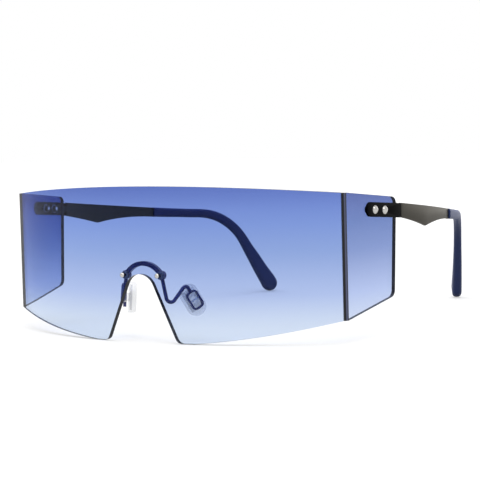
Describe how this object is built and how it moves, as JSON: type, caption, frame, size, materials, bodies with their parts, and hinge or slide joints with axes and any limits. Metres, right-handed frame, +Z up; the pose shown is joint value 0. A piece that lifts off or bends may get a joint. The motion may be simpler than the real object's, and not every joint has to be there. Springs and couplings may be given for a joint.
{
  "type": "shield sunglasses",
  "caption": "Rimless wraparound shield sunglasses with a gradient blue lens, side lenses, folding flat temples with moulded ear tips, and rocking nose pads on a wire bracket.",
  "frame": {"origin": "middle of the overall box at its base, on the surface that the lens and the ear tips stand on", "axes": "+Z up, -Y is the way the lens faces, +X to the right of the picture, along the lens"},
  "size_m": [0.1578, 0.181, 0.057],
  "materials": {
    "tinted_lens": "polished blue gradient polycarbonate",
    "black_bead": "black adhesive bead",
    "navy_metal": "satin navy",
    "polished_steel": "polished",
    "clear_nylon": "clear",
    "black_metal": "satin black",
    "gunmetal": "satin gunmetal",
    "navy_tip": "matte moulded acetate",
    "clear_silicone": "clear silicone",
    "clear_core": "clear hard insert"
  },
  "bodies": {
    "front": {"front_lens": "tinted_lens", "left_side_lens": "tinted_lens", "right_side_lens": "tinted_lens", "left_corner_strip": "black_bead", "right_corner_strip": "black_bead", "nose_bracket": "navy_metal", "bracket_rivets": "polished_steel", "bracket_washers": "clear_nylon", "left_pad_box": "navy_metal", "right_pad_box": "navy_metal", "left_pad_screw": "polished_steel", "right_pad_screw": "polished_steel", "left_end_plate": "black_metal", "right_end_plate": "black_metal", "left_plate_rivets": "polished_steel", "right_plate_rivets": "polished_steel", "left_rivet_washers": "clear_nylon", "right_rivet_washers": "clear_nylon", "left_rivet_nuts": "gunmetal", "right_rivet_nuts": "gunmetal", "left_front_hinge": "black_metal", "right_front_hinge": "black_metal", "left_hinge_screw": "polished_steel", "right_hinge_screw": "polished_steel"},
    "left_temple": {"left_temple_arm": "gunmetal", "left_temple_hinge": "gunmetal", "left_temple_tip": "navy_tip"},
    "left_pad": {"left_nose_pad": "clear_silicone", "left_pad_core": "clear_core"},
    "right_temple": {"right_temple_arm": "gunmetal", "right_temple_hinge": "gunmetal", "right_temple_tip": "navy_tip"},
    "right_pad": {"right_nose_pad": "clear_silicone", "right_pad_core": "clear_core"}
  },
  "joints": [
    {"name": "left_temple_fold", "type": "hinge", "parent": "front", "child": "left_temple", "pos_m": [-0.07638, -0.03353, 0.04545], "axis": [0, 0, -1], "range_deg": [0, 90]},
    {"name": "right_temple_fold", "type": "hinge", "parent": "front", "child": "right_temple", "pos_m": [0.07638, -0.03353, 0.04545], "axis": [0, 0, 1], "range_deg": [0, 80]},
    {"name": "left_pad_rock", "type": "hinge", "parent": "front", "child": "left_pad", "pos_m": [-0.0157, -0.07724, 0.0148], "axis": [0.4865, -0.7213, -0.4929], "range_deg": [-8, 8]},
    {"name": "right_pad_rock", "type": "hinge", "parent": "front", "child": "right_pad", "pos_m": [0.0157, -0.07724, 0.0148], "axis": [-0.4865, -0.7213, -0.4929], "range_deg": [-8, 8]}
  ]
}
